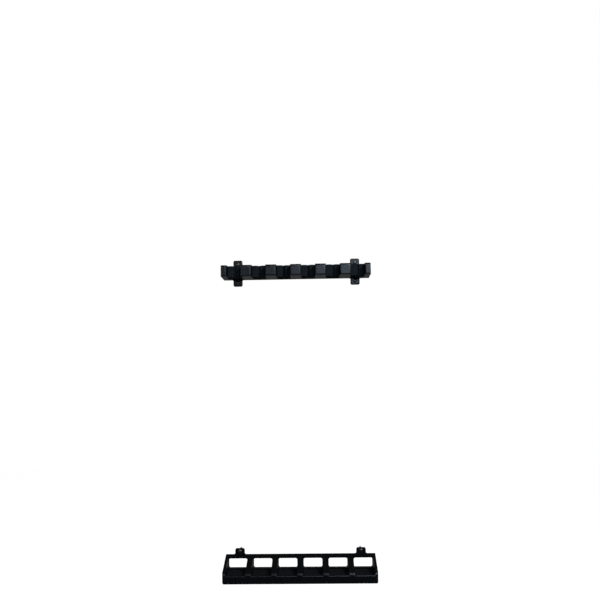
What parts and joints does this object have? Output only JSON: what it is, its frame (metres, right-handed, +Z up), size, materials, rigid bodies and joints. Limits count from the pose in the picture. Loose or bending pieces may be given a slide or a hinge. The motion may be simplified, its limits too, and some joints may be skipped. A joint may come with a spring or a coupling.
{
  "type": "fishing rod wall rack",
  "caption": "Wall rack that stands fishing rods upright: a moulded tray of butt pockets below and a comb rail with foam grips above, each screwed to the wall through tabs.",
  "frame": {"origin": "on the wall plane, midway between the two screws of the tray", "axes": "+Z up, +Y into the wall along the screws, +X to the right when looking at the rack"},
  "size_m": [0.346, 0.0992, 0.7305],
  "materials": {
    "plastic": "black moulded plastic, satin, slightly glossy on the underside",
    "foam": "blue-black closed-cell foam, dull",
    "screw": "dark zinc-plated steel, satin"
  },
  "bodies": {
    "root": {"base_tray": "plastic", "base_screws": "screw", "floor_mat_1": "foam", "floor_mat_2": "foam", "floor_mat_3": "foam", "floor_mat_4": "foam", "floor_mat_5": "foam", "floor_mat_6": "foam", "upper_rail": "plastic", "rail_screws": "screw", "grip_pad_1": "foam", "grip_pad_2": "foam", "grip_pad_3": "foam", "grip_pad_4": "foam", "grip_pad_5": "foam", "grip_pad_6": "foam"}
  },
  "joints": []
}
